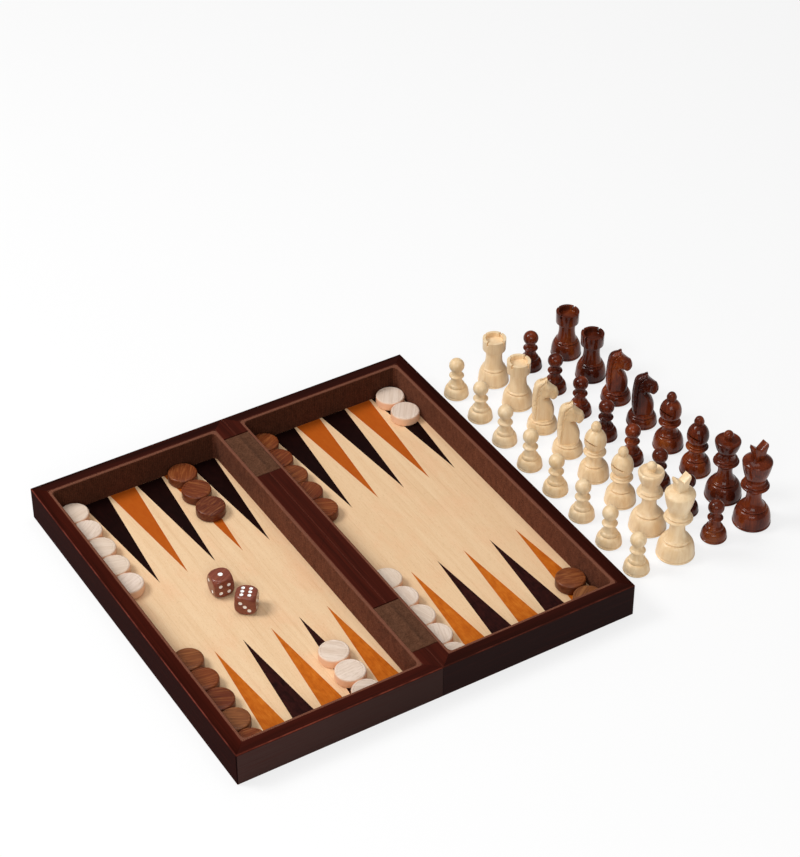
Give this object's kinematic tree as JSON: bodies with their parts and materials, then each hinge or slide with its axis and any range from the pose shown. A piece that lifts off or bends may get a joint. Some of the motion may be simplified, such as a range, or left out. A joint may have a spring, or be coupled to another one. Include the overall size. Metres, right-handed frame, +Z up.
{
  "type": "folding chess and backgammon box",
  "caption": "Folding wooden games box lying open: backgammon board inside, chess board outside, with checkers, dice and turned chessmen.",
  "frame": {"origin": "on the table, under the middle of the fold between the two trays", "axes": "+X across the fold towards the moving tray and the chessmen, +Y along the fold to the back, +Z up"},
  "size_m": [0.5097, 0.348, 0.08],
  "materials": {
    "lacquered_mahogany": "dark red-brown lacquer, gloss, edges worn lighter",
    "plywood": "bare, hidden under the veneers",
    "striped_veneer": "dark striped veneer, satin lacquer",
    "maple_veneer": "pale veneer, satin lacquer",
    "pale_stringing": "pale inlaid line, satin lacquer",
    "amber_veneer": "orange-stained veneer, satin lacquer",
    "dark_point_veneer": "black-brown stained veneer, satin lacquer",
    "brown_felt": "short-fibre felt, matte",
    "hinge_brass": "brushed",
    "screw_steel": "brushed",
    "magnet_steel": "plated",
    "pale_checker_wood": "turned, fine open grain, satin",
    "brown_checker_wood": "turned, oiled, satin",
    "dice_wood": "reddish brown, polished",
    "pip_paint": "white inlay",
    "light_man_wood": "turned, polished, satin",
    "dark_man_wood": "turned, dark stain under gloss lacquer"
  },
  "bodies": {
    "left_tray": {"left_front_rail": "lacquered_mahogany", "left_back_rail": "lacquered_mahogany", "left_outer_rail": "lacquered_mahogany", "left_hinge_rail": "lacquered_mahogany", "left_base_panel": "plywood", "left_border_veneer": "striped_veneer", "left_stringing": "pale_stringing", "left_dark_squares": "striped_veneer", "left_light_squares": "maple_veneer", "left_playing_field": "maple_veneer", "left_dark_points": "dark_point_veneer", "left_amber_points": "amber_veneer", "left_wall_felt": "brown_felt", "left_hinge_leaves": "hinge_brass", "left_leaf_screws": "screw_steel", "left_felt_pads": "brown_felt", "left_magnets": "magnet_steel", "hinge_pins": "hinge_brass"},
    "right_tray": {"right_front_rail": "lacquered_mahogany", "right_back_rail": "lacquered_mahogany", "right_outer_rail": "lacquered_mahogany", "right_hinge_rail": "lacquered_mahogany", "right_base_panel": "plywood", "right_border_veneer": "striped_veneer", "right_stringing": "pale_stringing", "right_dark_squares": "striped_veneer", "right_light_squares": "maple_veneer", "right_playing_field": "maple_veneer", "right_dark_points": "dark_point_veneer", "right_amber_points": "amber_veneer", "right_wall_felt": "brown_felt", "right_hinge_leaves": "hinge_brass", "right_leaf_screws": "screw_steel", "right_felt_pads": "brown_felt", "right_magnets": "magnet_steel"},
    "pale_checkers_left_back": {"pale_stack_left_back": "pale_checker_wood"},
    "brown_checkers_left_back": {"brown_stack_left_back": "brown_checker_wood"},
    "brown_checkers_left_front": {"brown_stack_left_front": "brown_checker_wood"},
    "pale_checkers_left_front": {"pale_stack_left_front": "pale_checker_wood"},
    "pale_checkers_right_front": {"pale_stack_right_front": "pale_checker_wood"},
    "brown_checkers_right_front": {"brown_stack_right_front": "brown_checker_wood"},
    "brown_checkers_right_back": {"brown_stack_right_back": "brown_checker_wood"},
    "pale_checkers_right_back": {"pale_stack_right_back": "pale_checker_wood"},
    "first_die": {"die_one": "dice_wood", "die_one_pips": "pip_paint"},
    "second_die": {"die_two": "dice_wood", "die_two_pips": "pip_paint"},
    "chess_light_king": {"light_king": "light_man_wood"},
    "chess_light_queen": {"light_queen": "light_man_wood"},
    "chess_light_bishops": {"light_bishops": "light_man_wood"},
    "chess_light_knights": {"light_knights": "light_man_wood"},
    "chess_light_rooks": {"light_rooks": "light_man_wood"},
    "chess_light_pawns": {"light_pawns": "light_man_wood"},
    "chess_dark_king": {"dark_king": "dark_man_wood"},
    "chess_dark_queen": {"dark_queen": "dark_man_wood"},
    "chess_dark_bishops": {"dark_bishops": "dark_man_wood"},
    "chess_dark_knights": {"dark_knights": "dark_man_wood"},
    "chess_dark_rooks": {"dark_rooks": "dark_man_wood"},
    "chess_dark_pawns": {"dark_pawns": "dark_man_wood"}
  },
  "joints": [
    {"name": "fold", "type": "hinge", "parent": "left_tray", "child": "right_tray", "pos_m": [0, 0, 0.0301], "axis": [0, -1, 0], "range_deg": [0, 180]},
    {"name": "lift_pale_checkers_left_back", "type": "slide", "parent": "left_tray", "child": "pale_checkers_left_back", "axis": [0, 0, -1], "range_m": [-0.04, 0]},
    {"name": "lift_brown_checkers_left_back", "type": "slide", "parent": "left_tray", "child": "brown_checkers_left_back", "axis": [0, 0, -1], "range_m": [-0.04, 0]},
    {"name": "lift_brown_checkers_left_front", "type": "slide", "parent": "left_tray", "child": "brown_checkers_left_front", "axis": [0, 0, -1], "range_m": [-0.04, 0]},
    {"name": "lift_pale_checkers_left_front", "type": "slide", "parent": "left_tray", "child": "pale_checkers_left_front", "axis": [0, 0, -1], "range_m": [-0.04, 0]},
    {"name": "lift_pale_checkers_right_front", "type": "slide", "parent": "right_tray", "child": "pale_checkers_right_front", "axis": [0, 0, -1], "range_m": [-0.04, 0]},
    {"name": "lift_brown_checkers_right_front", "type": "slide", "parent": "right_tray", "child": "brown_checkers_right_front", "axis": [0, 0, -1], "range_m": [-0.04, 0]},
    {"name": "lift_brown_checkers_right_back", "type": "slide", "parent": "right_tray", "child": "brown_checkers_right_back", "axis": [0, 0, -1], "range_m": [-0.04, 0]},
    {"name": "lift_pale_checkers_right_back", "type": "slide", "parent": "right_tray", "child": "pale_checkers_right_back", "axis": [0, 0, -1], "range_m": [-0.04, 0]},
    {"name": "lift_first_die", "type": "slide", "parent": "left_tray", "child": "first_die", "axis": [0, 0, -1], "range_m": [-0.04, 0]},
    {"name": "lift_second_die", "type": "slide", "parent": "left_tray", "child": "second_die", "axis": [0, 0, -1], "range_m": [-0.04, 0]},
    {"name": "lift_chess_light_king", "type": "slide", "parent": "left_tray", "child": "chess_light_king", "axis": [0, 0, -1], "range_m": [-0.06, 0]},
    {"name": "lift_chess_light_queen", "type": "slide", "parent": "left_tray", "child": "chess_light_queen", "axis": [0, 0, -1], "range_m": [-0.06, 0]},
    {"name": "lift_chess_light_bishops", "type": "slide", "parent": "left_tray", "child": "chess_light_bishops", "axis": [0, 0, -1], "range_m": [-0.06, 0]},
    {"name": "lift_chess_light_knights", "type": "slide", "parent": "left_tray", "child": "chess_light_knights", "axis": [0, 0, -1], "range_m": [-0.06, 0]},
    {"name": "lift_chess_light_rooks", "type": "slide", "parent": "left_tray", "child": "chess_light_rooks", "axis": [0, 0, -1], "range_m": [-0.06, 0]},
    {"name": "lift_chess_light_pawns", "type": "slide", "parent": "left_tray", "child": "chess_light_pawns", "axis": [0, 0, -1], "range_m": [-0.06, 0]},
    {"name": "lift_chess_dark_king", "type": "slide", "parent": "left_tray", "child": "chess_dark_king", "axis": [0, 0, -1], "range_m": [-0.06, 0]},
    {"name": "lift_chess_dark_queen", "type": "slide", "parent": "left_tray", "child": "chess_dark_queen", "axis": [0, 0, -1], "range_m": [-0.06, 0]},
    {"name": "lift_chess_dark_bishops", "type": "slide", "parent": "left_tray", "child": "chess_dark_bishops", "axis": [0, 0, -1], "range_m": [-0.06, 0]},
    {"name": "lift_chess_dark_knights", "type": "slide", "parent": "left_tray", "child": "chess_dark_knights", "axis": [0, 0, -1], "range_m": [-0.06, 0]},
    {"name": "lift_chess_dark_rooks", "type": "slide", "parent": "left_tray", "child": "chess_dark_rooks", "axis": [0, 0, -1], "range_m": [-0.06, 0]},
    {"name": "lift_chess_dark_pawns", "type": "slide", "parent": "left_tray", "child": "chess_dark_pawns", "axis": [0, 0, -1], "range_m": [-0.06, 0]}
  ]
}
